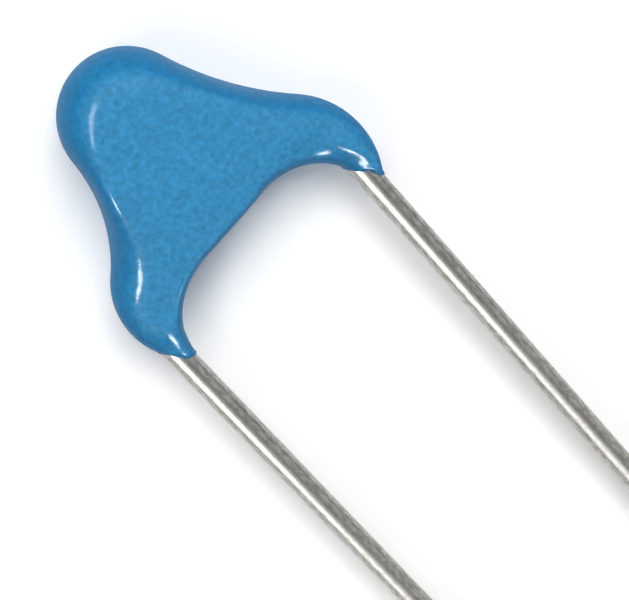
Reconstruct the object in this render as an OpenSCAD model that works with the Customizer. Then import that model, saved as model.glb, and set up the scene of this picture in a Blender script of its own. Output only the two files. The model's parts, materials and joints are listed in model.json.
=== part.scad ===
// Dipped radial capacitor: a ceramic disc with an electrode on each face, two
// formed wire leads soldered to the electrodes, and one resin coating over all.
// It lies on its back: +Z is its front, +Y is the crown of the head, and the leads
// run out along -Y. The origin is midway between the leads, on their axes.

/* [Leads] */
// Distance between the lead axes
pitch = 5.08; // [4.8:0.02:5.6]
// Diameter of the lead wire
wire_d = 0.5; // [0.4:0.01:0.55]
// Length of lead below the seating line
lead_len = 25; // [5:0.5:30]
// Height of the bend, where a lead turns in towards the disc
bend_y = 0.95; // [0.8:0.05:1.2]
// Radius of that bend, on the wire's axis
bend_r = 0.9; // [0.6:0.05:1.1]
// Length of lead past the middle of the disc
lead_over = 0.5; // [0.2:0.05:0.7]
// Gap between the disc's edge and the lead's offset up to its face
edge_gap = 0.12; // [0.05:0.01:0.2]

/* [Disc] */
// Diameter of the ceramic disc
disc_d = 2.1; // [1.8:0.05:2.2]
// Thickness of the ceramic disc
disc_t = 0.7; // [0.4:0.05:1]
// Bare ceramic left around each electrode
electrode_margin = 0.2; // [0.1:0.01:0.3]
// Thickness of each electrode film
electrode_t = 0.03; // [0.02:0.005:0.05]

/* [Solder] */
// Solder between a lead and its electrode
solder_under = 0.03; // [0.02:0.005:0.06]
// Solder over the top of the lead
solder_over = 0.05; // [0.02:0.01:0.1]
// Electrode film left bare around the solder
solder_margin = 0.15; // [0.1:0.01:0.25]

/* [Coating head] */
// Sideways place of the head, which leans to the left
head_x = -0.14; // [-0.4:0.02:0.2]
// Height of the head's centre above the seating line
head_y = 4.0; // [3.7:0.01:4.3]
// Resin around the disc's edge
coat_edge = 0.29; // [0.25:0.01:0.5]
// Resin over the leads on the front and the back
coat_face = 0.27; // [0.2:0.01:0.5]
// Distance over which the head thins down to the shoulders
head_fade = 2.4; // [1.5:0.1:3.5]

/* [Coating shoulders] */
// Thickness of the shoulders
shoulder_t = 1.6; // [1.3:0.05:2]
// Radius of the left shoulder
left_r = 1.5; // [1.3:0.01:1.6]
// Height of the left shoulder's centre
left_y = 0.9; // [0.7:0.01:1.1]
// Resin outside the left lead, at the widest point
left_cover = 0.15; // [0.1:0.01:0.4]
// Hollow radius between the left shoulder and the head
left_flank_r = 3.15; // [2.4:0.05:4]
// Radius of the right shoulder
right_r = 1.83; // [1.6:0.01:2]
// Height of the right shoulder's centre
right_y = 0.87; // [0.7:0.01:1.1]
// Resin outside the right lead, at the widest point
right_cover = 0.29; // [0.1:0.01:0.4]
// Hollow radius between the right shoulder and the head
right_flank_r = 6.4; // [4:0.1:9]

/* [Coating arch] */
// Radius of the arch on the left
arch_left_r = 1.7; // [1.3:0.01:1.8]
// Height of the arch on the left
arch_left_h = 1.1; // [0.9:0.01:1.2]
// How far the arch cuts across the left lead
arch_left_bite = 0.08; // [0:0.01:0.1]
// Radius of the arch on the right
arch_right_r = 1.5; // [1.4:0.01:1.8]
// Height of the arch on the right
arch_right_h = 1.27; // [1.1:0.01:1.4]
// How far the arch cuts across the right lead
arch_right_bite = 0.18; // [0.1:0.01:0.3]

/* [Coating edges] */
// Width of the rounded rim around the head
head_rim = 1.1; // [0.8:0.05:1.2]
// Width of the rounded rim along the flanks
flank_rim = 0.45; // [0.3:0.05:0.8]
// Width of the rounded rim around the left shoulder
left_rim = 1.5; // [0.8:0.05:1.8]
// Width of the rounded rim around the right shoulder
right_rim = 0.8; // [0.6:0.05:1.8]
// Width of the rounded rim along the arch
arch_rim = 0.35; // [0.25:0.01:0.6]
// Resin left on a lead where the coating ends
end_t = 0.03; // [0.02:0.005:0.06]
// Height of the lip in front of and behind a lead, above that
lip_t = 0.14; // [0.05:0.01:0.2]
// Length over which the lip rounds off
lip_run = 0.18; // [0.1:0.01:0.3]
// Radius with which the coating runs out onto the leads
run_out_r = 0.2; // [0.15:0.01:0.4]
// Run of coating down the outside of the left lead
left_tail_out = 0.01; // [0.01:0.01:0.2]
// Run of coating down the inside of the left lead
left_tail_in = 0.06; // [0.01:0.01:0.3]
// Run of coating down the outside of the right lead
right_tail_out = 0.01; // [0.01:0.01:0.2]
// Run of coating down the inside of the right lead
right_tail_in = 0.01; // [0.01:0.01:0.2]

/* [Hidden] */
$fn = 96;

LEFT = -1;
RIGHT = 1;
FRONT = 1;
REAR = -1;

wire_r = wire_d / 2;
disc_r = disc_d / 2;
disc_at = [head_x, head_y];
face_z = disc_t / 2 + electrode_t;             // outer face of an electrode
seat_z = face_z + solder_under + wire_r;       // axis of a lead where it is soldered
head_r = disc_r + coat_edge;
head_h = seat_z + wire_r + coat_face;          // half the thickness of the head
shoulder_h = shoulder_t / 2;
end_r = wire_r + end_t;                        // radius of the coating where it ends
leg_stop = wire_r;                             // from the top of a straight leg to its lead's bend
leg_lap = wire_d;                              // run of a lead's formed end inside its straight leg

arm_steps = 24;       // sections over each shoulder
head_steps = 56;      // sections over the head and its flanks
arm_full = 0.6;       // sections run straight across up to this share of a shoulder's run
arm_gone = 1.4;       // and follow the edges' normals from this share on
end_crowding = 1.6;   // sections crowd towards the coating's ends by this power
ease_steps = 4;       // neighbours on each side that a station's place or rim is averaged with
blend_power = 6;      // how closely a blend keeps to the smaller or larger of two lengths
fillet_points = 8;    // points along a run-out
side_points = 40;     // points along a shoulder, a flank or a side of the arch
head_points = 90;     // points along the head
rim_steps = 6;        // points around the outer rim, from its edge to the face
arch_rim_steps = 5;   // the same around the arch's rim
face_steps = 4;       // points across the face, between the rims
wire_sides = 12;      // sides of a lead's formed end
bend_steps = 6;       // rings around the bend
offset_steps = 12;    // rings along the offset up to the disc's face
facet_fit = 0.998;    // a faceted ring's corners lie just inside the round wire

// ---- plane geometry ----------------------------------------------------------

function unit(v) = v / norm(v);
function mix(a, b, t) = a + (b - a) * t;
function smooth(t) = let (u = min(max(t, 0), 1)) pow(u, 3) * (10 - 15 * u + 6 * u * u);
function blend(a, b, power) = pow(pow(a, power) + pow(b, power), 1 / power);
function softmin(a, b) = blend(a, b, -blend_power);
function softmax(a, b) = blend(a, b, blend_power);
function turn(v) = [-v[1], v[0]];
function heading(v, from = 0) = let (a = atan2(v[1], v[0])) a < from ? a + 360 : a;
function reversed(p) = [for (i = [len(p) - 1:-1:0]) p[i]];
function flipped(p) = [for (q = p) [-q[0], q[1]]];
function after_first(p) = [for (i = [1:len(p) - 1]) p[i]];

// Points of an arc, from one heading to another
function arc(c, r, a0, a1, n) =
    [for (i = [0:n]) c + r * [cos(mix(a0, a1, i / n)), sin(mix(a0, a1, i / n))]];

// Centre of the circle of radius r that touches two others from outside
function touching(c1, r1, c2, r2, r, side) =
    let (d = norm(c2 - c1), u = (c2 - c1) / d,
         a = (pow(r1 + r, 2) - pow(r2 + r, 2) + d * d) / (2 * d))
    c1 + u * a + side * turn(u) * sqrt(pow(r1 + r, 2) - a * a);

// Length of a path up to each of its points, and its whole length
function running(p, i = 1, s = [0]) =
    i == len(p) ? s : running(p, i + 1, concat(s, [s[i - 1] + norm(p[i] - p[i - 1])]));
function path_len(p) = running(p)[len(p) - 1];

// Points of a path at given lengths along it
function along_path(p, places) =
    let (s = running(p), last = len(p) - 1,
         xs = [for (i = [0:last]) [s[i], p[i][0]]], ys = [for (i = [0:last]) [s[i], p[i][1]]])
    [for (at = places) [lookup(at, xs), lookup(at, ys)]];

// Each value averaged with its neighbours; the first and the last stay as they are
function averaged(v) =
    let (last = len(v) - 1)
    [for (k = [0:last]) let (r = min(ease_steps, k, last - k), near = [for (i = [k - r:k + r]) v[i]])
        near * [for (x = near) 1] / (2 * r + 1)];

// ---- outline of the coating ----------------------------------------------------

left_at = [-(pitch / 2 + wire_r + left_cover) + left_r, left_y];
right_at = [pitch / 2 + wire_r + right_cover - right_r, right_y];
left_flank_at = touching(left_at, left_r, disc_at, head_r, left_flank_r, 1);
right_flank_at = touching(right_at, right_r, disc_at, head_r, right_flank_r, -1);
arch_left_at = [arch_left_r + wire_r - arch_left_bite - pitch / 2, arch_left_h - arch_left_r];
arch_right_at = [pitch / 2 - wire_r + arch_right_bite - arch_right_r, arch_right_h - arch_right_r];

// Heading at which the two arcs of the arch run into the line between them
arch_span = arch_right_at - arch_left_at;
arch_heading = atan2(arch_span[1], arch_span[0]) + acos((arch_left_r - arch_right_r) / norm(arch_span));

// One shoulder from its lead's outer side up to the flank, drawn for the left
function shoulder(c, r, flank, tail) =
    let (x = -(pitch / 2 + end_r), fx = x - run_out_r,
         f = [fx, c[1] - sqrt(pow(r + run_out_r, 2) - pow(fx - c[0], 2))])
    concat([[x, f[1] - tail]],
           arc(f, run_out_r, 0, heading(c - f), fillet_points),
           after_first(arc(c, r, heading(f - c), heading(flank - c), side_points)));

// One side of the arch from its lead's inner side up to its top, drawn for the left
function arch_side(c, r, top, tail) =
    let (x = -(pitch / 2 - end_r), fx = x + run_out_r,
         f = [fx, c[1] + sqrt(pow(r - run_out_r, 2) - pow(fx - c[0], 2))])
    concat([[x, f[1] - tail]],
           arc(f, run_out_r, 180, heading(f - c), fillet_points),
           after_first(arc(c, r, heading(f - c), top, side_points)));

left_shoulder = shoulder(left_at, left_r, left_flank_at, left_tail_out);
right_shoulder = flipped(shoulder([-right_at[0], right_at[1]], right_r,
                                  [-right_flank_at[0], right_flank_at[1]], right_tail_out));
left_flank = arc(left_flank_at, left_flank_r, heading(left_at - left_flank_at, -180),
                 heading(disc_at - left_flank_at, -180), side_points);
head = arc(disc_at, head_r, heading(left_flank_at - disc_at, -90),
           heading(right_flank_at - disc_at, -90), head_points);
right_flank = arc(right_flank_at, right_flank_r, heading(disc_at - right_flank_at),
                  heading(right_at - right_flank_at), side_points);
left_arch = arch_side(arch_left_at, arch_left_r, arch_heading, left_tail_in);
right_arch = flipped(arch_side([-arch_right_at[0], arch_right_at[1]], arch_right_r,
                               180 - arch_heading, right_tail_in));

// Places of the stations along an edge: its left side, its middle and its right side
function places(left, middle, right) =
    averaged(averaged(concat(
        [for (k = [0:arm_steps]) left * pow(k / arm_steps, end_crowding)],
        [for (k = [1:head_steps]) left + middle * k / head_steps],
        [for (k = [arm_steps - 1:-1:0])
            left + middle + right * (1 - pow(k / arm_steps, end_crowding))])));

// Outer and arch edges, station by station from the left lead to the right lead
crown = concat(left_flank, after_first(head), after_first(right_flank));
outer_places = places(path_len(left_shoulder), path_len(crown), path_len(right_shoulder));
outer_edge = along_path(concat(left_shoulder, after_first(crown), after_first(reversed(right_shoulder))),
                        outer_places);
arch_top = [left_arch[len(left_arch) - 1], right_arch[len(right_arch) - 1]];
arch_edge = along_path(concat(left_arch, after_first(reversed(right_arch))),
                       places(path_len(left_arch), path_len(arch_top), path_len(right_arch)));
stations = len(outer_edge) - 1;

// Width of the outer rim at each station
flank_from = path_len(left_shoulder);
head_from = flank_from + path_len(left_flank);
head_to = head_from + path_len(head);
flank_to = head_to + path_len(right_flank);
outer_rim = averaged(averaged([for (at = outer_places)
    at < flank_from ? left_rim : at < head_from ? flank_rim : at < head_to ? head_rim :
    at < flank_to ? flank_rim : right_rim]));

// ---- sections of the coating -----------------------------------------------------

// 1 over the shoulders, where a section runs straight across, and 0 over the head
function armness(k) =
    let (from_end = min(k, stations - k) / arm_steps)
    1 - smooth((from_end - arm_full) / (arm_gone - arm_full));

// Unit normal of an edge at a station, to the left of its run
function normal(edge, k) = turn(unit(edge[min(k + 1, stations)] - edge[max(k - 1, 0)]));

// Half thickness that the lip over a lead has at a station
function middle(k) = (outer_edge[k] + arch_edge[k]) / 2;
function lip_h(k) =
    let (from_end = min(norm(middle(k) - middle(0)), norm(middle(k) - middle(stations))))
    end_r + lip_t * sqrt(1 - pow(1 - min(from_end / lip_run, 1), 2));

// Half thickness of the coating at a point of a section that is to be no thicker than limit
function half_t(p, limit) =
    softmin(limit, mix(shoulder_h, head_h, smooth(1 - (norm(p - disc_at) - disc_r) / head_fade)));

// Share of its height that a rim has reached: upright at the edge, level where it meets the face
function rim_climb(t) = sqrt(1 - pow(cos(t), 3));

// Points of one section, from the outer edge over the front to the arch's edge
function front_of(k) =
    let (a = outer_edge[k], b = arch_edge[k], chord = b - a, arm = armness(k),
         width = norm(chord), limit = softmax(mix(width, abs(chord[0]), arm) / 2, lip_h(k)),
         in_a = unit(mix(-normal(outer_edge, k), chord / width, arm)),
         in_b = unit(mix(normal(arch_edge, k), -chord / width, arm)),
         wa = softmin(outer_rim[k], width / 2), wb = softmin(arch_rim, width / 2),
         pa = a + in_a * wa, pb = b + in_b * wb,
         flat = concat(
             [for (i = [0:rim_steps]) let (t = 90 * i / rim_steps)
                 [a + in_a * wa * (1 - cos(t)), rim_climb(t)]],
             [for (i = [1:face_steps - 1]) [mix(pa, pb, i / face_steps), 1]],
             [for (i = [arch_rim_steps:-1:0]) let (t = 90 * i / arch_rim_steps)
                 [b + in_b * wb * (1 - cos(t)), rim_climb(t)]]))
    [for (q = flat) [q[0][0], q[0][1], q[1] * half_t(q[0], limit)]];

// The whole section: over the front and back under the rear
function section(k) =
    let (front = front_of(k), last = len(front) - 1)
    concat(front, [for (i = [last - 1:-1:1]) [front[i][0], front[i][1], -front[i][2]]]);

// Skin over a row of closed loops of n points each, with flat ends
module loft(loops) {
    n = len(loops[0]);
    m = len(loops);
    polyhedron(
        points = [for (l = loops) each l],
        faces = concat(
            [[for (i = [0:n - 1]) i]],
            [for (k = [0:m - 2], i = [0:n - 1])
                let (j = (i + 1) % n) each [[k * n + i, (k + 1) * n + i, (k + 1) * n + j],
                                            [k * n + i, (k + 1) * n + j, k * n + j]]],
            [[for (i = [n - 1:-1:0]) (m - 1) * n + i]]));
}

// ---- pieces --------------------------------------------------------------------------

module coating() {
    color([0.235, 0.549, 0.737])
        difference() {
            loft([for (k = [0:stations]) section(k)]);
            ceramic_disc();
            electrode_front();
            electrode_rear();
            solder_dome();
            mirror([0, 0, 1]) solder_dome();
            lead_left();
            lead_right();
        }
}

module ceramic_disc() {
    color([0.72, 0.58, 0.42])
        translate([head_x, head_y, -disc_t / 2])
            cylinder(r = disc_r, h = disc_t);
}

module electrode() {
    color([0.86, 0.86, 0.84])
        translate([head_x, head_y, disc_t / 2])
            cylinder(r = disc_r - electrode_margin, h = electrode_t);
}

module electrode_front() {
    electrode();
}

module electrode_rear() {
    mirror([0, 0, 1]) electrode();
}

// Domed joint on the front electrode, before its lead is let in
module solder_dome() {
    foot_r = disc_r - electrode_margin - solder_margin;
    dome_h = solder_under + wire_d + solder_over;
    dome_r = (pow(foot_r, 2) + pow(dome_h, 2)) / (2 * dome_h);
    color([0.74, 0.75, 0.76])
        translate([head_x, head_y, face_z])
            intersection() {
                translate([0, 0, dome_h - dome_r]) sphere(r = dome_r);
                translate([-dome_r, -dome_r, 0]) cube(2 * dome_r);
            }
}

module solder_front() {
    difference() {
        solder_dome();
        lead_right();
    }
}

module solder_rear() {
    difference() {
        mirror([0, 0, 1]) solder_dome();
        lead_left();
    }
}

// Axis of a lead's formed end: bend, offset to the disc's face, and run over the disc
function formed_axis(side, face) =
    let (foot = [side * pitch / 2, bend_y], reach = norm(disc_at - foot),
         run = (disc_at - foot) / reach, angle = acos(run[1]), cut = bend_r * tan(angle / 2),
         centre = foot - [side * bend_r, cut],
         offset_end = reach - disc_r - edge_gap,
         start = [foot[0], foot[1] - cut - leg_stop - leg_lap, 0],
         bend = [for (i = [0:bend_steps]) let (a = angle * i / bend_steps)
             [centre[0] + side * bend_r * cos(a), centre[1] + bend_r * sin(a), 0]],
         rise = [for (i = [1:offset_steps])
             let (t = i / offset_steps, q = foot + run * mix(cut, offset_end, t))
             [q[0], q[1], face * seat_z * (1 - cos(180 * t)) / 2]],
         tip = foot + run * (reach + lead_over))
    concat([start], bend, rise, [[tip[0], tip[1], face * seat_z]]);

// Round wire of a few sides along an axis that never points straight up
module formed_wire(axis) {
    last = len(axis) - 1;
    r = facet_fit * wire_r;
    loft([for (k = [0:last])
        let (along = unit(axis[min(k + 1, last)] - axis[max(k - 1, 0)]),
             across = unit(cross(along, [0, 0, 1])), up = cross(across, along))
        [for (i = [0:wire_sides - 1]) let (a = 360 * (i + 0.5) / wire_sides)
            axis[k] + r * (up * sin(a) - across * cos(a))]]);
}

// Straight leg, and the formed end that starts inside its top
module lead(side, face) {
    axis = formed_axis(side, face);
    color([0.78, 0.78, 0.77])
        union() {
            translate([side * pitch / 2, -lead_len, 0])
                rotate([-90, 0, 0])
                    cylinder(r = wire_r, h = lead_len + axis[0][1] + leg_lap);
            formed_wire(axis);
        }
}

module lead_left() {
    lead(LEFT, REAR);
}

module lead_right() {
    lead(RIGHT, FRONT);
}

coating();
ceramic_disc();
electrode_front();
electrode_rear();
solder_front();
solder_rear();
lead_left();
lead_right();
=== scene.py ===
"""Dresses a dipped disc capacitor: its blue resin coating, its tinned leads, the sealed
ceramic, silver and solder inside, and a plain pale studio around it."""
import json
import math

import bpy
import numpy as np
from bpy.props import FloatProperty, FloatVectorProperty, PointerProperty, StringProperty
from mathutils import Matrix, Vector


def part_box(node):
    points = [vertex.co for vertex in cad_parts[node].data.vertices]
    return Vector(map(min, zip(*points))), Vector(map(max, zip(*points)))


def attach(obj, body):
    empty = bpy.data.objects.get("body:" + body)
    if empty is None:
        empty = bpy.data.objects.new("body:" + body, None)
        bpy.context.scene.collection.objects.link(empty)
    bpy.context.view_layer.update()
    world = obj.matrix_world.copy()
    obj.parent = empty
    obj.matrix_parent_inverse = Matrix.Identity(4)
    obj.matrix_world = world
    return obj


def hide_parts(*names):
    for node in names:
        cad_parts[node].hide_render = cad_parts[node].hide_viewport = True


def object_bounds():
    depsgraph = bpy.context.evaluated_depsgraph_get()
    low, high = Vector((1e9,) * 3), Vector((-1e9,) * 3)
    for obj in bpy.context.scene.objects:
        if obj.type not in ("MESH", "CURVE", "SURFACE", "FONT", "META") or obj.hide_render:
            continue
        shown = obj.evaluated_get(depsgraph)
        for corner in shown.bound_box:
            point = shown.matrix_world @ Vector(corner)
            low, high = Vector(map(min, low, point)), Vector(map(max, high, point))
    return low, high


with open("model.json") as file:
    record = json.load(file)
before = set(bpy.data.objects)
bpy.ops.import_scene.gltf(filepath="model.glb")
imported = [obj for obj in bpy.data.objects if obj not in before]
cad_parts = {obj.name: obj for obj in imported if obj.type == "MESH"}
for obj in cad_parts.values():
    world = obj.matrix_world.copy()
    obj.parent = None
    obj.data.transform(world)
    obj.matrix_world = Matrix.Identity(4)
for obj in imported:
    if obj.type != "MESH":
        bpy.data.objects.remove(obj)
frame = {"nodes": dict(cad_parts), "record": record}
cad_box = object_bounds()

bl_info = {
    "name": "Dipped Disc Capacitor",
    "version": (1, 0, 0),
    "blender": (4, 5, 0),
    "location": "View3D > Sidebar > Capacitor",
    "description": "Builds the coating, leads, core and studio of a dipped disc capacitor",
    "category": "Add Mesh",
}

MM = 0.001
LEFT, RIGHT = -1, 1
FRONT, REAR = 1, -1


def stated(mount, size):
    """A size that the record states for one of the part's mounts, in metres."""
    return next(m for m in frame["record"]["mounts"] if m["name"] == mount)["dims"][size] * MM


PITCH = stated("lead_pair", "spacing_x_mm")
WIRE_R = stated("lead_pair", "stud_r_mm")
DISC_LOW, DISC_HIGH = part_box("ceramic_disc")
DISC_R = (DISC_HIGH.x - DISC_LOW.x) / 2
DISC_AT = np.array([(DISC_LOW.x + DISC_HIGH.x) / 2, (DISC_LOW.y + DISC_HIGH.y) / 2])
ELECTRODE_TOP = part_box("electrode_front")[1].z
LEAD_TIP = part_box("lead_left")[0].y

# The part lies on the head's flat back, which ends at HEAD_REST, and on the leads' tips.
HEAD_REST = DISC_AT[1] - DISC_R
FLOOR_Z = cad_box[0].z
FLOOR_SLOPE = (FLOOR_Z + WIRE_R) / (LEAD_TIP - HEAD_REST)


# ---- settings ----------------------------------------------------------------------------

def length(name, description, mm):
    """A length that a user can change, given in millimetres and held in metres."""
    return FloatProperty(name=name, description=description, default=mm * MM,
                         unit="LENGTH", precision=6)


def colour(name, description, code):
    """A colour that a user can change, written as an sRGB hex code."""
    return StringProperty(name=name, description=description, default=code)


class CoatingSettings(bpy.types.PropertyGroup):
    """Sizes and colours of the resin coating"""
    # The resin over the disc and over the shoulders.
    coat_edge: length("Edge cover", "Resin around the disc's edge", 0.29)
    coat_face: length("Face cover", "Resin over the leads on the front and the back", 0.2635)
    head_fade: length("Head fade", "Distance over which the head thins to the shoulders", 3.0)
    shoulder_t: length("Shoulder thickness", "Thickness of the shoulders", 1.6)
    # The outer edge.
    left_r: length("Left shoulder", "Radius of the left shoulder", 1.5)
    left_y: length("Left height", "Height of the left shoulder's centre", 0.9)
    left_cover: length("Left cover", "Resin outside the left lead", 0.15)
    left_flank_r: length("Left flank", "Hollow radius between left shoulder and head", 3.15)
    right_r: length("Right shoulder", "Radius of the right shoulder", 1.83)
    right_y: length("Right height", "Height of the right shoulder's centre", 0.87)
    right_cover: length("Right cover", "Resin outside the right lead", 0.29)
    right_flank_r: length("Right flank", "Hollow radius between right shoulder and head", 6.4)
    # The arch between the leads.
    arch_left_r: length("Arch, left", "Radius of the arch on the left", 1.7)
    arch_left_h: length("Arch height, left", "Height of the arch on the left", 1.1)
    arch_left_bite: length("Arch bite, left", "How far the arch cuts across that lead", 0.08)
    arch_right_r: length("Arch, right", "Radius of the arch on the right", 1.5)
    arch_right_h: length("Arch height, right", "Height of the arch on the right", 1.27)
    arch_right_bite: length("Arch bite, right", "How far the arch cuts across that lead", 0.18)
    # The rounded rims.
    head_rim: length("Head rim", "Width of the rim around the head", 1.1)
    left_flank_rim: length("Left flank rim", "Width of the rim on the left flank", 0.3)
    right_flank_rim: length("Right flank rim", "Width of the rim on the right flank", 0.45)
    left_rim: length("Left rim", "Width of the rim around the left shoulder", 1.5)
    left_rim_reach: length("Left rim reach", "How far the left rim runs on up the flank", 0.65)
    right_rim: length("Right rim", "Width of the rim around the right shoulder", 0.8)
    arch_rim: length("Arch rim", "Width of the rim along the arch", 0.26)
    arch_right_rim: length("Arch rim, right", "Width of the arch's rim at the right lead", 0.6)
    # The two arms and their ends on the leads.
    end_t: length("End cover", "Resin left on a lead where the coating ends", 0.03)
    lip_t: length("Lip height", "Height of the lip in front of and behind a lead", 0.08)
    lip_run: length("Lip length", "Length over which the lip rounds off", 0.1)
    left_exit: FloatProperty(name="Left exit", default=0.45, subtype="FACTOR",
                             description="Slope at which the resin rises from the left lip")
    right_exit: FloatProperty(name="Right exit", default=0.28, subtype="FACTOR",
                              description="Slope at which the resin rises from the right lip")
    run_out_r: length("Run-out", "Radius with which the coating runs out onto the leads", 0.2)
    left_tail_out: length("Left tail, out", "Run of coating down the lead's outer side", 0.01)
    left_tail_in: length("Left tail, in", "Run of coating down the lead's inner side", 0.06)
    right_tail_out: length("Right tail, out", "Run of coating down the lead's outer side", 0.01)
    right_tail_in: length("Right tail, in", "Run of coating down the lead's inner side", 0.01)
    turn_in: length("Turn-in", "Length over which the thin end turns in to a lead", 0.03)
    left_crest: FloatProperty(name="Left crest", default=0.62, subtype="FACTOR",
                              description="Place of the crest across that arm, from outside")
    right_crest: FloatProperty(name="Right crest", default=0.42, subtype="FACTOR",
                               description="Place of the crest across that arm, from outside")
    # Resin that has climbed the leads or run down them.
    left_climb: length("Left climb", "Height of the ridge where resin climbs that lead", 0.07)
    right_climb: length("Right climb", "Height of the ridge where resin climbs that lead", 0.11)
    climb_w: length("Climb width", "Half width of those ridges", 0.22)
    left_tongue: length("Left tongue", "Run of resin down that lead's front and back", 0.1)
    left_slant: length("Left slant", "Further run down that lead's inner side", 0.13)
    right_tongue: length("Right tongue", "As on the left; below 0 it hollows the end", -0.06)
    right_slant: length("Right slant", "Further run down that lead's inner side", 0.0)
    # The skin.
    peel: length("Orange peel", "Distance between the surface's bumps, and its clouds", 0.11)
    peel_depth: length("Peel depth", "Height of those bumps", 0.0025)
    tone: colour("Resin", "Blue of the pigmented resin", "#3D8FC1")
    # Painted shade: a darker blue laid on the steep rim, where less light falls.
    painted_shade_tone: colour("Bead", "Blue of the thick bead round the rim", "#1C7AB0")
    mottle: FloatProperty(name="Mottle", default=0.42, subtype="FACTOR",
                          description="How far the pigment's clouds are lighter or darker")


class LeadSettings(bpy.types.PropertyGroup):
    """Sizes and colours of the two leads"""
    bend_y: length("Bend height", "Height of the bend above the seating line", 0.95)
    bend_r: length("Bend radius", "Radius of the bend, on the wire's axis", 0.9)
    over: length("Overrun", "Length of lead past the middle of the disc", 0.5)
    edge_gap: length("Edge gap", "From the disc's edge to the lead's offset", 0.12)
    solder_under: length("Solder gap", "Solder between a lead and its electrode", 0.03)
    burr: length("Cut end", "Width of the bevel that the cutter leaves on a tip", 0.05)
    line: length("Drawing lines", "Distance between the lines left by drawing the wire", 0.02)
    line_depth: length("Line depth", "Height of those lines", 0.0003)
    ripple: length("Ripples", "Distance between the ripples of the tin", 0.07)
    ripple_depth: length("Ripple depth", "Height of those ripples", 0.0012)
    tone: colour("Tin", "Colour of the bright tin", "#CFCECA")
    dull_tone: colour("Dull tin", "Colour of the tin where it has dulled", "#A3A19B")


class CoreSettings(bpy.types.PropertyGroup):
    """Patterns and colours of the ceramic, the silver and the solder"""
    ceramic_grain: length("Ceramic grain", "Distance between the ceramic's grains", 0.03)
    ceramic_tone: colour("Ceramic", "Colour of the ceramic's grains", "#C2A47C")
    ceramic_gap: colour("Ceramic gaps", "Colour between the ceramic's grains", "#A98A62")
    silver_grain: length("Silver grain", "Distance between the grains of the fired paste", 0.02)
    silver_depth: length("Silver depth", "Height of those grains", 0.002)
    silver_tone: colour("Silver", "Colour of the silver's grains", "#E6E3DA")
    silver_gap: colour("Silver gaps", "Colour between the silver's grains", "#CFCBC0")
    wrinkle: length("Wrinkles", "Distance between the wrinkles of the set solder", 0.08)
    wrinkle_depth: length("Wrinkle depth", "Height of those wrinkles", 0.004)
    solder_tone: colour("Solder", "Colour of the tin solder", "#C6C8CA")


class StageSettings(bpy.types.PropertyGroup):
    """Camera, floor and light"""
    aim: FloatVectorProperty(name="Aim", size=3, default=(0.1216 * MM, -1.0868 * MM, 0),
                             description="Point of the leads' plane at the picture's middle",
                             subtype="TRANSLATION", unit="LENGTH", precision=6)
    distance: length("Distance", "From the camera to that point", 30.496)
    tilt: FloatProperty(name="Tilt", description="Lean of the camera towards the crown",
                        default=math.radians(15), subtype="ANGLE")
    roll: FloatProperty(name="Roll", description="Turn of the picture about the line of sight",
                        default=math.radians(-42.6), subtype="ANGLE")
    lens: FloatProperty(name="Lens", description="Focal length in millimetres", default=88.55,
                        subtype="DISTANCE_CAMERA")
    floor_side: length("Floor", "Side of the floor", 300)
    lamp_distance: length("Lamp distance", "From the part to each lamp", 400)
    floor_tone: colour("Floor", "Colour of the matt white floor", "#F2F2F2")
    floor_seen: FloatProperty(name="Floor seen", default=1.12,
                              description="Share of its light that the camera sees it give")
    room_light: FloatProperty(name="Room light", default=0.12,
                              description="Strength of the even light from all round")


# ---- plane geometry, as the CAD model works it out ---------------------------------------

# Points along each kind of arc.
FILLET_POINTS, SIDE_POINTS, HEAD_POINTS = 24, 160, 360
# Stations along each arm and over the head. Those of an arm crowd towards its end.
ARM_STEPS, HEAD_STEPS, END_CROWDING = 96, 224, 1.6
# Stations on each side that an average takes in, and how often it is taken.
EASE_STEPS, EASE_PASSES = 16, 2
# Swaps left and right.
MIRROR = np.array([-1, 1])


def unit(v):
    return v / np.linalg.norm(v)


def smooth(t):
    """0 to 1 with a level start and end, and no jump in curvature."""
    u = np.clip(t, 0, 1)
    return u ** 3 * (10 - 15 * u + 6 * u * u)


def heading(v, lowest=0.0):
    """Direction of a vector as an angle, counted up from the lowest one."""
    angle = math.atan2(v[1], v[0])
    return angle + 2 * math.pi if angle < lowest else angle


def arc(centre, radius, start, end, count):
    """Points along an arc, from one heading to another."""
    angles = np.linspace(start, end, count + 1)
    return centre + radius * np.stack([np.cos(angles), np.sin(angles)], axis=1)


def touching(c1, r1, c2, r2, r, side):
    """Centre of the circle of radius r that touches two others from outside. Side 1 puts it
    on the left of the way from the first to the second, and side -1 on the right."""
    d = np.linalg.norm(c2 - c1)
    u = (c2 - c1) / d
    along = ((r1 + r) ** 2 - (r2 + r) ** 2 + d * d) / (2 * d)
    off = math.sqrt((r1 + r) ** 2 - along ** 2)
    return c1 + u * along + side * np.array([-u[1], u[0]]) * off


def joined(*paths):
    """Paths end to end, without the points that two of them share."""
    return np.concatenate([paths[0]] + [p[1:] for p in paths[1:]])


def averaged(values):
    """Values along the stations, each averaged with its neighbours. The ends stay."""
    last = len(values) - 1
    k = np.arange(last + 1)
    reach = np.minimum(EASE_STEPS, np.minimum(k, last - k))
    for _ in range(EASE_PASSES):
        total = np.concatenate([[0], np.cumsum(values)])
        values = (total[k + reach + 1] - total[k - reach]) / (2 * reach + 1)
    return values


def running(path):
    """Length of a path up to each of its points."""
    return np.concatenate([[0], np.cumsum(np.linalg.norm(np.diff(path, axis=0), axis=1))])


def along_path(path, places):
    """Points of a path at given lengths along it."""
    return np.stack([np.interp(places, running(path), path[:, i]) for i in range(2)], axis=1)


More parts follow.
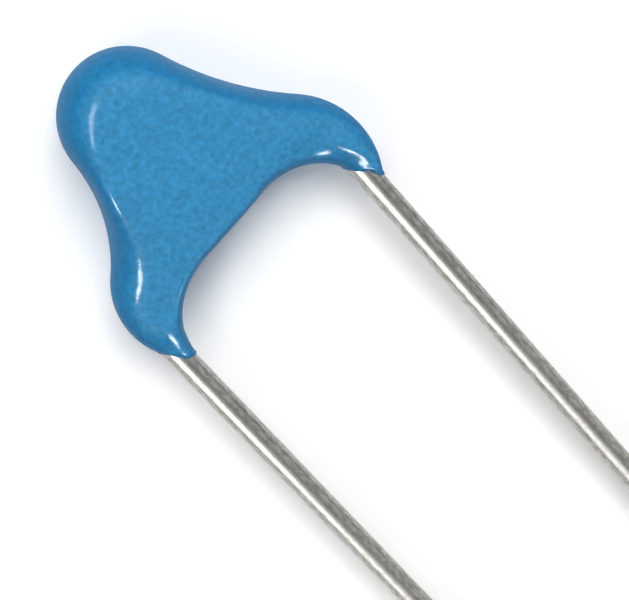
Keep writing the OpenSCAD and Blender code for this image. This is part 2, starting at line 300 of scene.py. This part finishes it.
def station_places(left, middle, right):
    """Places of the stations along an edge, over its left side, its middle and its right
    side."""
    arm = (np.arange(ARM_STEPS + 1) / ARM_STEPS) ** END_CROWDING
    ends = [running(p)[-1] for p in (left, middle, right)]
    return averaged(np.concatenate([
        ends[0] * arm, ends[0] + ends[1] * np.arange(1, HEAD_STEPS + 1) / HEAD_STEPS,
        sum(ends) - ends[2] * arm[-2::-1]]))


# ---- meshes ------------------------------------------------------------------------------

def loft(name, rings):
    """A closed skin over rings of as many points each, with a fan over each end."""
    sides = len(rings[0])
    last = (len(rings) - 1) * sides
    points = np.concatenate([np.concatenate(rings), [rings[0].mean(0), rings[-1].mean(0)]])
    faces = []
    for first in range(0, last, sides):
        for i in range(sides):
            j = (i + 1) % sides
            faces.append((first + i, first + j, first + sides + j, first + sides + i))
    for i in range(sides):
        j = (i + 1) % sides
        faces.append((last + sides, j, i))
        faces.append((last + sides + 1, last + i, last + j))
    mesh = bpy.data.meshes.new(name)
    mesh.from_pydata(points.tolist(), [], faces)
    mesh.shade_smooth()
    piece = bpy.data.objects.new(name, mesh)
    bpy.context.scene.collection.objects.link(piece)
    return piece


# ---- coating -----------------------------------------------------------------------------

class Outline:
    """The coating's two edges, station by station from the left lead to the right lead, with
    the width of its outer rim and the height that its ends allow it."""

    def __init__(self, s):
        self.s = s
        self.end_r = WIRE_R + s.end_t
        left, crown, right = self.outer_paths()
        places = station_places(left, joined(*crown), right)
        self.outer = along_path(joined(left, *crown, right[::-1]), places)
        self.rim = self.rim_widths((left, *crown), places)
        left, right = self.arch_paths()
        self.arch = along_path(joined(left, right[::-1]),
                               station_places(left, np.stack([left[-1], right[-1]]), right))
        self.limit = self.end_limit((self.outer + self.arch) / 2)

    def outer_paths(self):
        """The outer edge in its parts: the left shoulder, the crown as flank, head and flank,
        and the right shoulder. Each shoulder runs up from its lead."""
        s = self.s
        head_r = DISC_R + s.coat_edge
        left_at = np.array([s.left_r - (PITCH / 2 + WIRE_R + s.left_cover), s.left_y])
        right_at = np.array([PITCH / 2 + WIRE_R + s.right_cover - s.right_r, s.right_y])
        left_flank = touching(left_at, s.left_r, DISC_AT, head_r, s.left_flank_r, 1)
        right_flank = touching(right_at, s.right_r, DISC_AT, head_r, s.right_flank_r, -1)
        crown = (arc(left_flank, s.left_flank_r, heading(left_at - left_flank, -math.pi),
                     heading(DISC_AT - left_flank, -math.pi), SIDE_POINTS),
                 arc(DISC_AT, head_r, heading(left_flank - DISC_AT, -math.pi / 2),
                     heading(right_flank - DISC_AT, -math.pi / 2), HEAD_POINTS),
                 arc(right_flank, s.right_flank_r, heading(DISC_AT - right_flank),
                     heading(right_at - right_flank), SIDE_POINTS))
        return (self.shoulder(left_at, s.left_r, left_flank, s.left_tail_out), crown,
                MIRROR * self.shoulder(MIRROR * right_at, s.right_r, MIRROR * right_flank,
                                       s.right_tail_out))

    def arch_paths(self):
        """The arch's two sides, each up from its lead. A straight top joins them."""
        s = self.s
        left_at = np.array([s.arch_left_r + WIRE_R - s.arch_left_bite - PITCH / 2,
                            s.arch_left_h - s.arch_left_r])
        right_at = np.array([PITCH / 2 - WIRE_R + s.arch_right_bite - s.arch_right_r,
                             s.arch_right_h - s.arch_right_r])
        span = right_at - left_at
        top = math.atan2(span[1], span[0]) + math.acos((s.arch_left_r - s.arch_right_r)
                                                       / np.linalg.norm(span))
        return (self.arch_side(left_at, s.arch_left_r, top, s.left_tail_in),
                MIRROR * self.arch_side(MIRROR * right_at, s.arch_right_r, math.pi - top,
                                        s.right_tail_in))

    def shoulder(self, c, r, flank, tail):
        """One shoulder from its lead's outer side up to the flank, drawn for the left."""
        x, run_out = -PITCH / 2 - self.end_r, self.s.run_out_r
        fx = x - run_out
        f = np.array([fx, c[1] - math.sqrt((r + run_out) ** 2 - (fx - c[0]) ** 2)])
        return joined(np.array([[x, f[1] - tail], [x, f[1]]]),
                      arc(f, run_out, 0, heading(c - f), FILLET_POINTS),
                      arc(c, r, heading(f - c), heading(flank - c), SIDE_POINTS))

    def arch_side(self, c, r, top, tail):
        """One side of the arch from its lead's inner side up to its top, drawn for the left."""
        x, run_out = -PITCH / 2 + self.end_r, self.s.run_out_r
        fx = x + run_out
        f = np.array([fx, c[1] + math.sqrt((r - run_out) ** 2 - (fx - c[0]) ** 2)])
        return joined(np.array([[x, f[1] - tail], [x, f[1]]]),
                      arc(f, run_out, math.pi, heading(f - c), FILLET_POINTS),
                      arc(c, r, heading(f - c), top, SIDE_POINTS))

    def rim_widths(self, paths, places):
        """Width of the outer rim at each station."""
        s = self.s
        ends = np.cumsum([running(path)[-1] for path in paths])
        ends[0] += s.left_rim_reach
        widths = np.array([s.left_rim, s.left_flank_rim, s.head_rim, s.right_flank_rim,
                           s.right_rim])
        return averaged(widths[np.searchsorted(ends, places, side="right")])

    def end_limit(self, middle):
        """Height that the two ends allow the coating at each station: a lip round the lead,
        and a slope up from it."""
        s = self.s
        limits = []
        for end, slope in ((middle[0], s.left_exit), (middle[-1], s.right_exit)):
            away = np.linalg.norm(middle - end, axis=1)
            lip = s.lip_t * np.sqrt(1 - (1 - np.minimum(away / s.lip_run, 1)) ** 2)
            limits.append(self.end_r + slope * away + lip)
        return np.min(limits, axis=0)


def normals(edge):
    """Unit normal of an edge at each station, to the left of its run."""
    ahead = np.concatenate([edge[1:], edge[-1:]])
    behind = np.concatenate([edge[:1], edge[:-1]])
    run = ahead - behind
    run /= np.linalg.norm(run, axis=1, keepdims=True)
    return np.stack([-run[:, 1], run[:, 0]], axis=1)


# Steps across a section: its outer rim, its face and its arch rim.
RIM_STEPS, FACE_STEPS, ARCH_RIM_STEPS = 16, 14, 12
# Stations from an end, as a share of an arm's, where the arm's own shape starts to fade and
# where it has gone.
ARM_FULL, ARM_GONE = 0.6, 1.4
# The ends' limit is divided by the share of that shape, or by this where the share is less.
ARM_LEAST = 0.01
# How closely a rounded change between two lengths follows the lesser one.
BLEND_POWER = 6


def lesser(a, b):
    """The lesser of two lengths, with a rounded change from one to the other."""
    return (a ** -BLEND_POWER + b ** -BLEND_POWER) ** (-1 / BLEND_POWER)


def rim_profile(steps):
    """Way in from the edge and height reached, each 0 to 1: upright at the edge, and level
    without a crease where the rim meets the face."""
    over = 1 - np.cos(np.linspace(0, math.pi / 2, steps + 1))
    return over, np.sqrt(1 - (1 - over) ** 3)


def coating_rings(s, seat_z):
    """Sections of the coating, each a closed ring from the outer edge over the front and
    back under the rear. The resin covers a lead whose axis lies at seat_z over the disc."""
    edges = Outline(s)
    last = len(edges.outer) - 1
    head_half = seat_z + WIRE_R + s.coat_face
    out_normal, arch_normal = normals(edges.outer), normals(edges.arch)
    over, rise = rim_profile(RIM_STEPS)
    arch_over, arch_rise = (v[::-1] for v in rim_profile(ARCH_RIM_STEPS))
    profile = np.concatenate([rise, np.ones(FACE_STEPS - 1), arch_rise])
    from_end = np.minimum(np.arange(last + 1), last - np.arange(last + 1)) / ARM_STEPS
    arms = 1 - smooth((from_end - ARM_FULL) / (ARM_GONE - ARM_FULL))
    face = np.linspace(0, 1, FACE_STEPS + 1)[1:-1, None]
    rings = []
    for k in range(last + 1):
        a, b = edges.outer[k], edges.arch[k]      # the section's outer end and its arch end
        chord = b - a
        width = np.linalg.norm(chord)
        arm = arms[k]
        # Over the head a section leaves its edges squarely. In an arm it runs straight across.
        in_a = unit((1 - arm) * -out_normal[k] + arm * chord / width)
        in_b = unit((1 - arm) * arch_normal[k] - arm * chord / width)
        crest, arch_rim = ((s.left_crest, s.arch_rim) if k < last / 2
                           else (s.right_crest, s.arch_right_rim))
        crest = 0.5 + (crest - 0.5) * arm
        wa = lesser(edges.rim[k], width * crest)
        wb = lesser(s.arch_rim + (arch_rim - s.arch_rim) * arm, width * (1 - crest))
        pa, pb = a + in_a * wa, b + in_b * wb
        flat = np.concatenate([a + in_a * wa * over[:, None], pa + (pb - pa) * face,
                               b + in_b * wb * arch_over[:, None]])
        near = smooth(1 - (np.linalg.norm(flat - DISC_AT, axis=1) - DISC_R) / s.head_fade)
        full = s.shoulder_t / 2 + (head_half - s.shoulder_t / 2) * near
        height = lesser(edges.limit[k] / max(arm, ARM_LEAST), full)
        front = np.column_stack([flat, profile * height])
        rings.append(np.concatenate([front, front[-2:0:-1] * [1, 1, -1]]))
    return rings


# A tongue of resin is full up to this height, and gone this far above.
TONGUE_FROM, TONGUE_RUN = -0.1 * MM, 0.5 * MM
# Foot and top of each ridge of climbed resin, as x and y in millimetres.
CLIMBS = {LEFT: ((-2.45, -0.25), (-2.36, 0.6)), RIGHT: ((2.86, 0.03), (2.51, 0.96))}
# A ridge fades out past its top, over this share of its length.
CLIMB_FADE = 0.5
# Sections in each turned-in end. The last lies inside the lead, at this share of its radius.
TURN_STEPS, SUNK = 5, 0.9


def with_run_down(ring, s):
    """A section with the tongue and the ridge of resin that lie along its lead."""
    side = LEFT if ring[:, 0].mean() < 0 else RIGHT
    tongue, slant, height = ((s.left_tongue, s.left_slant, s.left_climb) if side == LEFT
                             else (s.right_tongue, s.right_slant, s.right_climb))
    inward = (side * PITCH / 2 - ring[:, 0]) * side / WIRE_R
    run = tongue * smooth(1 - abs(inward)) + slant * smooth((inward + 1) / 2)
    down = smooth(1 - (ring[:, 1] - TONGUE_FROM) / TONGUE_RUN)
    (x0, y0), (x1, y1) = np.array(CLIMBS[side]) * MM
    along = (ring[:, 1] - y0) / (y1 - y0)
    off = (ring[:, 0] - x0 - (x1 - x0) * along) / s.climb_w
    climb = height * np.exp(-off ** 2) * smooth(along) * smooth(1 - (along - 1) / CLIMB_FADE)
    return (ring + np.outer(climb * np.sign(ring[:, 2]), [0, 0, 1])
            - np.outer(run * down, [0, 1, 0]))


def turned_in(end, side, s):
    """Sections that close the coating's thin end onto its lead, from the end inwards."""
    axis = np.array([side * PITCH / 2, 0, 0])
    away = (end - axis) * [1, 0, 1]
    radius = np.linalg.norm(away, axis=1, keepdims=True)
    turned = []
    for t in np.linspace(0, math.pi / 2, TURN_STEPS + 1)[1:]:
        reach = WIRE_R * SUNK + (radius - WIRE_R * SUNK) * math.cos(t)
        turned.append(axis + end * [0, 1, 0] + away / radius * reach
                      - np.array([0, s.turn_in * math.sin(t), 0]))
    return turned


# ---- leads -------------------------------------------------------------------------------

def seat_height(leads):
    """Height of a lead's axis over the middle of the disc, where it lies in the solder."""
    return ELECTRODE_TOP + leads.solder_under + WIRE_R


# Points round the wire, the step along its straight leg, and the steps along its bend and
# along its rise to the disc's face.
SIDES, LEG_STEP, BEND_STEPS, RISE_STEPS = 40, 0.5 * MM, 16, 32


def lead_axis(s, side, face):
    """Points along a lead's axis, from its tip to its end over the disc."""
    foot = np.array([side * PITCH / 2, s.bend_y])
    reach = np.linalg.norm(DISC_AT - foot)
    run = (DISC_AT - foot) / reach
    angle = math.acos(run[1])
    cut = s.bend_r * math.tan(angle / 2)
    centre = foot - np.array([side * s.bend_r, cut])
    seat_z = face * seat_height(s)
    offset_end = reach - DISC_R - s.edge_gap
    leg = [[foot[0], y, 0] for y in np.arange(LEAD_TIP, centre[1], LEG_STEP)]
    bend = [[centre[0] + side * s.bend_r * math.cos(a), centre[1] + s.bend_r * math.sin(a), 0]
            for a in np.linspace(0, angle, BEND_STEPS + 1)]
    rise = []
    for t in np.linspace(0, 1, RISE_STEPS + 1)[1:]:
        q = foot + run * (cut + (offset_end - cut) * t)
        rise.append([q[0], q[1], seat_z * (1 - math.cos(math.pi * t)) / 2])
    tip = foot + run * (reach + s.over)
    return np.array(leg + bend + rise + [[tip[0], tip[1], seat_z]])


def wire_rings(axis, bevel):
    """Round sections square to the axis, with the cutter's bevel at each end."""
    near, far = (end + unit(inner - end) * bevel
                 for end, inner in ((axis[0], axis[1]), (axis[-1], axis[-2])))
    axis = np.concatenate([axis[:1], [near], axis[1:-1], [far], axis[-1:]])
    radii = np.full(len(axis), WIRE_R)
    radii[[0, -1]] -= bevel
    rings = []
    angles = np.linspace(0, 2 * math.pi, SIDES, endpoint=False)[:, None]
    for k, point in enumerate(axis):
        along = unit(axis[min(k + 1, len(axis) - 1)] - axis[max(k - 1, 0)])
        across = unit(np.cross(along, [0, 0, 1]))
        up = np.cross(across, along)
        rings.append(point + radii[k] * (up * np.sin(angles) - across * np.cos(angles)))
    return rings


# ---- materials ---------------------------------------------------------------------------

def linear(code):
    """An sRGB hex code as linear red, green, blue and alpha."""
    values = [int(code[i:i + 2], 16) / 255 for i in (1, 3, 5)]
    return [v / 12.92 if v <= 0.04045 else ((v + 0.055) / 1.055) ** 2.4 for v in values] + [1.0]


# Most of a noise pattern's values lie between these.
NOISE_LOW, NOISE_HIGH = 0.35, 0.65


def add(tree, kind, inputs=None, **settings):
    """Adds a node, sets what it is given, and links each input that is given a socket."""
    node = tree.nodes.new(kind)
    for name, value in settings.items():
        setattr(node, name, value)
    for name, value in (inputs or {}).items():
        if isinstance(value, bpy.types.NodeSocket):
            tree.links.new(value, node.inputs[name])
        else:
            node.inputs[name].default_value = value
    return node


def material(name):
    """An empty material and its node tree."""
    made = bpy.data.materials.new(name)
    made.use_nodes = True
    made.node_tree.nodes.clear()
    return made, made.node_tree


def shade(tone, share):
    """A linear colour made lighter or darker by a share of itself."""
    return [min(v * (1 + share), 1.0) for v in tone[:3]] + [1.0]


# Upward share of the skin's normal where the face ends and where the rim's painted shade is
# full.
FACE_LEVEL, PAINTED_SHADE_LEVEL = 0.98, 0.6


def dipped_epoxy(s):
    """Pigmented epoxy, dipped and oven cured: an even blue, faintly clouded by its pigment,
    with painted shade darkening the steep rim, under a thin clear skin with a fine orange peel."""
    made, tree = material("dipped_blue_epoxy")
    place = add(tree, "ShaderNodeTexCoord").outputs
    clouds = add(tree, "ShaderNodeTexNoise", {"Vector": place["Object"], "Scale": 1 / s.peel,
                                              "Detail": 2.0, "Roughness": 0.6})
    face, painted_shade = (add(tree, "ShaderNodeMix", {"Factor": clouds.outputs["Fac"],
                                              "A": shade(linear(tone), -s.mottle),
                                              "B": shade(linear(tone), s.mottle)},
                      data_type="RGBA").outputs["Result"] for tone in (s.tone, s.painted_shade_tone))
    # Painted shade: the blue darkens towards the shade tone as the skin turns away from
    # upright.
    facing = add(tree, "ShaderNodeSeparateXYZ", {"Vector": place["Normal"]})
    level = add(tree, "ShaderNodeMath", {0: facing.outputs["Z"]}, operation="ABSOLUTE")
    rim = add(tree, "ShaderNodeMapRange", {"Value": level.outputs["Value"],
                                           "From Min": FACE_LEVEL, "From Max": PAINTED_SHADE_LEVEL},
              interpolation_type="SMOOTHSTEP")
    tone = add(tree, "ShaderNodeMix", {"Factor": rim.outputs["Result"], "A": face, "B": painted_shade},
               data_type="RGBA")
    peel = add(tree, "ShaderNodeTexNoise", {"Vector": place["Object"], "Scale": 1 / s.peel,
                                            "Detail": 1.0, "Roughness": 0.5})
    bump = add(tree, "ShaderNodeBump", {"Height": peel.outputs["Fac"], "Distance": s.peel_depth,
                                        "Strength": 1.0})
    shader = add(tree, "ShaderNodeBsdfPrincipled",
                 {"Base Color": tone.outputs["Result"], "Roughness": 0.5, "IOR": 1.5,
                  "Specular IOR Level": 0.0, "Coat Weight": 0.32, "Coat Roughness": 0.16,
                  "Coat IOR": 1.5, "Normal": bump.outputs["Normal"],
                  "Coat Normal": bump.outputs["Normal"]})
    add(tree, "ShaderNodeOutputMaterial", {"Surface": shader.outputs["BSDF"]})
    return made


# How many times as long as they are wide the drawing lines and the ripples run.
LINE_STRETCH, RIPPLE_STRETCH = 20, 2.5


def tinned_steel(s):
    """Copper-clad steel wire, drawn and hot tinned: a soft metal shine, broken by the ripples
    of the tin and by fine lines along the wire."""
    made, tree = material("drawn_tinned_steel")
    place = add(tree, "ShaderNodeTexCoord").outputs["Object"]
    # The real lines are a few thousandths of a millimetre apart. They are drawn five times
    # as coarse, because finer ones would be lost between the pixels.
    drawn = add(tree, "ShaderNodeMapping", {"Vector": place, "Scale": (1, 1 / LINE_STRETCH, 1)})
    lines = add(tree, "ShaderNodeTexNoise", {"Vector": drawn.outputs["Vector"],
                                             "Scale": 1 / s.line, "Detail": 2.0})
    flowed = add(tree, "ShaderNodeMapping", {"Vector": place,
                                              "Scale": (1, 1 / RIPPLE_STRETCH, 1)})
    ripples = add(tree, "ShaderNodeTexNoise", {"Vector": flowed.outputs["Vector"],
                                               "Scale": 1 / s.ripple, "Detail": 2.0,
                                               "Roughness": 0.6})
    fine = add(tree, "ShaderNodeBump", {"Height": lines.outputs["Fac"], "Strength": 1.0,
                                        "Distance": s.line_depth})
    bump = add(tree, "ShaderNodeBump", {"Height": ripples.outputs["Fac"], "Strength": 1.0,
                                        "Distance": s.ripple_depth,
                                        "Normal": fine.outputs["Normal"]})
    bright = add(tree, "ShaderNodeMapRange", {"Value": ripples.outputs["Fac"],
                                              "From Min": NOISE_LOW, "From Max": NOISE_HIGH})
    roughness = add(tree, "ShaderNodeMapRange", {"Value": bright.outputs["Result"],
                                                 "To Min": 0.39, "To Max": 0.33})
    tone = add(tree, "ShaderNodeMix", {"Factor": bright.outputs["Result"],
                                       "A": linear(s.dull_tone), "B": linear(s.tone)},
               data_type="RGBA")
    shader = add(tree, "ShaderNodeBsdfPrincipled",
                 {"Base Color": tone.outputs["Result"], "Metallic": 1.0,
                  "Roughness": roughness.outputs["Result"], "Normal": bump.outputs["Normal"]})
    add(tree, "ShaderNodeOutputMaterial", {"Surface": shader.outputs["BSDF"]})
    return made


def pressed_ceramic(s):
    """Barium titanate ceramic, pressed and fired: tan, dense and dull."""
    made, tree = material("fired_titanate_ceramic")
    place = add(tree, "ShaderNodeTexCoord").outputs["Object"]
    # The real grain is a few thousandths of a millimetre. It is drawn ten times as coarse.
    grain = add(tree, "ShaderNodeTexNoise", {"Vector": place, "Scale": 1 / s.ceramic_grain})
    tone = add(tree, "ShaderNodeMix", {"Factor": grain.outputs["Fac"],
                                       "A": linear(s.ceramic_gap), "B": linear(s.ceramic_tone)},
               data_type="RGBA")
    shader = add(tree, "ShaderNodeBsdfPrincipled",
                 {"Base Color": tone.outputs["Result"], "Roughness": 0.75, "IOR": 1.6})
    add(tree, "ShaderNodeOutputMaterial", {"Surface": shader.outputs["BSDF"]})
    return made


def fired_silver(s):
    """Silver paste, screened onto the ceramic and fired: a pale metal, matt and slightly
    rough."""
    made, tree = material("fired_silver_paste")
    place = add(tree, "ShaderNodeTexCoord").outputs["Object"]
    # The real grain is a few thousandths of a millimetre. It is drawn five times as coarse.
    grain = add(tree, "ShaderNodeTexNoise", {"Vector": place, "Scale": 1 / s.silver_grain,
                                             "Detail": 2.0})
    bump = add(tree, "ShaderNodeBump", {"Height": grain.outputs["Fac"],
                                        "Distance": s.silver_depth})
    tone = add(tree, "ShaderNodeMix", {"Factor": grain.outputs["Fac"],
                                       "A": linear(s.silver_gap), "B": linear(s.silver_tone)},
               data_type="RGBA")
    shader = add(tree, "ShaderNodeBsdfPrincipled",
                 {"Base Color": tone.outputs["Result"], "Metallic": 1.0, "Roughness": 0.5,
                  "Normal": bump.outputs["Normal"]})
    add(tree, "ShaderNodeOutputMaterial", {"Surface": shader.outputs["BSDF"]})
    return made


def reflowed_solder(s):
    """Tin solder, melted and set: bright grey, smooth, with shallow wrinkles from cooling."""
    made, tree = material("reflowed_tin_solder")
    place = add(tree, "ShaderNodeTexCoord").outputs["Object"]
    wrinkles = add(tree, "ShaderNodeTexNoise", {"Vector": place, "Scale": 1 / s.wrinkle,
                                                "Detail": 3.0, "Distortion": 0.5})
    bump = add(tree, "ShaderNodeBump", {"Height": wrinkles.outputs["Fac"],
                                        "Distance": s.wrinkle_depth})
    roughness = add(tree, "ShaderNodeMapRange", {"Value": wrinkles.outputs["Fac"],
                                                 "From Min": NOISE_LOW, "From Max": NOISE_HIGH,
                                                 "To Min": 0.2, "To Max": 0.35})
    shader = add(tree, "ShaderNodeBsdfPrincipled",
                 {"Base Color": linear(s.solder_tone), "Metallic": 1.0,
                  "Roughness": roughness.outputs["Result"], "Normal": bump.outputs["Normal"]})
    add(tree, "ShaderNodeOutputMaterial", {"Surface": shader.outputs["BSDF"]})
    return made


def white_card(s):
    """Matt white card, lit by the lamps: it looks white and keeps the part's shadow."""
    made, tree = material("matt_white_card")
    path = add(tree, "ShaderNodeLightPath").outputs
    tone = add(tree, "ShaderNodeMix", {"Factor": path["Is Camera Ray"],
                                       "A": linear(s.floor_tone),
                                       "B": [s.floor_seen] * 3 + [1]}, data_type="RGBA")
    shader = add(tree, "ShaderNodeBsdfDiffuse", {"Color": tone.outputs["Result"]})
    add(tree, "ShaderNodeOutputMaterial", {"Surface": shader.outputs["BSDF"]})
    return made


# ---- stage -------------------------------------------------------------------------------

# Each lamp's direction from the part, its width and height in metres, and its brightness.
# Soft boxes light the surface, cards also show in the gloss, and glints show only there.
SOFT_BOXES = {"soft_box_overhead": ((0.20, 0.41, 0.89), 0.30, 0.22, 5.2),
              "soft_box_crown": ((0.20, 0.62, 0.76), 0.45, 0.20, 1.0),
              "soft_box_left": ((-0.50, 0.17, 0.85), 0.10, 0.10, 5.0)}
CARDS = {"card_left": ((-0.76, -0.29, 0.58), 0.24, 0.28, 0.9),
         "card_right": ((0.72, -0.26, 0.64), 0.30, 0.34, 0.42),
         "card_low": ((0.25, -0.95, 0.12), 0.80, 0.16, 1.3)}
GLINTS = {"glint_shoulder": ((-0.70, -0.05, 0.71), 0.05, 0.10, 70.0),
          "glint_exits": ((-0.28, -0.85, 0.45), 0.12, 0.08, 65.0),
          "glint_head": ((-0.37, 0.40, 0.84), 0.14, 0.08, 18.0)}
# The nearest and the farthest that the camera sees, in metres.
NEAREST_SEEN, FARTHEST_SEEN = 1 * MM, 10


def camera(s):
    """A camera above the part, leaned towards the crown and rolled about its line of sight."""
    eye = bpy.data.cameras.new("camera")
    eye.lens = s.lens
    eye.clip_start, eye.clip_end = NEAREST_SEEN, FARTHEST_SEEN
    made = bpy.data.objects.new("camera", eye)
    turn = Matrix.Rotation(-s.tilt, 4, "X") @ Matrix.Rotation(s.roll, 4, "Z")
    made.matrix_world = (Matrix.Translation(Vector(s.aim)) @ turn
                         @ Matrix.Translation((0, 0, s.distance)))
    bpy.context.scene.collection.objects.link(made)
    return made


def floor(s):
    """A flat floor, which slopes from the head's back to the tips of the leads."""
    half = s.floor_side / 2
    mesh = bpy.data.meshes.new("floor")
    mesh.from_pydata([(x, y, FLOOR_Z - (y - HEAD_REST) * FLOOR_SLOPE) for x, y in
                      ((-half, -half), (half, -half), (half, half), (-half, half))],
                     [], [(0, 1, 2, 3)])
    mesh.materials.append(white_card(s))
    made = bpy.data.objects.new("floor", mesh)
    bpy.context.scene.collection.objects.link(made)


def lamp(name, direction, width, height, brightness, s):
    """A flat lamp that faces the part. In a mirror, brightness 1 looks white."""
    light = bpy.data.lights.new(name, "AREA")
    light.shape = "RECTANGLE"
    light.size, light.size_y = width, height
    light.energy = brightness * math.pi * width * height
    way = Vector(direction).normalized()
    made = bpy.data.objects.new(name, light)
    made.location = way * s.lamp_distance
    made.rotation_euler = way.to_track_quat("Z", "Y").to_euler()
    bpy.context.scene.collection.objects.link(made)
    return made


def even_room(s):
    """A dim room that lights the part evenly. Past the floor's edge the camera sees white."""
    room = bpy.data.worlds.new("room")
    room.use_nodes = True
    tree = room.node_tree
    tree.nodes.clear()
    path = add(tree, "ShaderNodeLightPath")
    seen = add(tree, "ShaderNodeMapRange", {"Value": path.outputs["Is Camera Ray"],
                                            "To Min": s.room_light, "To Max": 1.0})
    even = add(tree, "ShaderNodeBackground", {"Color": linear("#FFFFFF"),
                                              "Strength": seen.outputs["Result"]})
    add(tree, "ShaderNodeOutputWorld", {"Surface": even.outputs["Background"]})
    return room


# ---- operators ---------------------------------------------------------------------------

class CAPACITOR_OT_coating(bpy.types.Operator):
    """Lofts the dipped resin coating over its outline"""
    bl_idname = "capacitor.coating"
    bl_label = "Coating"

    def execute(self, context):
        s = context.scene.capacitor_coating
        seat_z = seat_height(context.scene.capacitor_leads)
        rings = [with_run_down(ring, s) for ring in coating_rings(s, seat_z)]
        coating = loft("dipped_coating", turned_in(rings[0], LEFT, s)[::-1] + rings
                       + turned_in(rings[-1], RIGHT, s))
        coating.data.materials.append(dipped_epoxy(s))
        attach(coating, "root")
        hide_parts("coating")
        return {"FINISHED"}


class CAPACITOR_OT_leads(bpy.types.Operator):
    """Draws the two tinned wire leads"""
    bl_idname = "capacitor.leads"
    bl_label = "Leads"

    def execute(self, context):
        s = context.scene.capacitor_leads
        tin = tinned_steel(s)
        for node, side, face in (("lead_left", LEFT, REAR), ("lead_right", RIGHT, FRONT)):
            lead = loft("tinned_" + node, wire_rings(lead_axis(s, side, face), s.burr))
            lead.data.materials.append(tin)
            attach(lead, "root")
            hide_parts(node)
        return {"FINISHED"}


class CAPACITOR_OT_core(bpy.types.Operator):
    """Finishes the ceramic disc, its electrodes and the solder inside the coating"""
    bl_idname = "capacitor.core"
    bl_label = "Core"

    def execute(self, context):
        s = context.scene.capacitor_core
        for made, nodes in ((pressed_ceramic(s), ("ceramic_disc",)),
                            (fired_silver(s), ("electrode_front", "electrode_rear")),
                            (reflowed_solder(s), ("solder_front", "solder_rear"))):
            for node in nodes:
                mesh = frame["nodes"][node].data
                mesh.materials.clear()
                mesh.materials.append(made)
        return {"FINISHED"}


class CAPACITOR_OT_stage(bpy.types.Operator):
    """Sets the camera, the pale floor, the lamps and the room's even light"""
    bl_idname = "capacitor.stage"
    bl_label = "Stage"

    def execute(self, context):
        scene = context.scene
        s = scene.capacitor_stage
        scene.camera = camera(s)
        floor(s)
        for name, sizes in SOFT_BOXES.items():
            lamp(name, *sizes, s).visible_glossy = False
        for name, sizes in CARDS.items():
            lamp(name, *sizes, s)
        for name, sizes in GLINTS.items():
            lamp(name, *sizes, s).visible_diffuse = False
        scene.world = even_room(s)
        scene.view_settings.view_transform = "Standard"
        return {"FINISHED"}


# ---- panel and registration --------------------------------------------------------------

GROUPS = {"coating": CoatingSettings, "leads": LeadSettings, "core": CoreSettings,
          "stage": StageSettings}


class CAPACITOR_PT_parts(bpy.types.Panel):
    """Lists the capacitor's pieces and their sizes"""
    bl_label = "Dipped Disc Capacitor"
    bl_idname = "CAPACITOR_PT_parts"
    bl_space_type = "VIEW_3D"
    bl_region_type = "UI"
    bl_category = "Capacitor"

    def draw(self, context):
        for group in GROUPS:
            box = self.layout.box()
            box.operator("capacitor." + group)
            settings = getattr(context.scene, "capacitor_" + group)
            for name in settings.bl_rna.properties.keys():
                if name not in ("name", "rna_type"):
                    box.prop(settings, name)


CLASSES = (*GROUPS.values(), CAPACITOR_OT_coating, CAPACITOR_OT_leads, CAPACITOR_OT_core,
           CAPACITOR_OT_stage, CAPACITOR_PT_parts)


def register():
    for cls in CLASSES:
        bpy.utils.register_class(cls)
    for group, settings in GROUPS.items():
        setattr(bpy.types.Scene, "capacitor_" + group, PointerProperty(type=settings))


def unregister():
    for group in GROUPS:
        delattr(bpy.types.Scene, "capacitor_" + group)
    for cls in reversed(CLASSES):
        bpy.utils.unregister_class(cls)


def main():
    """Builds the stage and then the part."""
    register()
    bpy.ops.capacitor.stage()
    bpy.ops.capacitor.coating()
    bpy.ops.capacitor.leads()
    bpy.ops.capacitor.core()


if __name__ == "__main__":
    main()
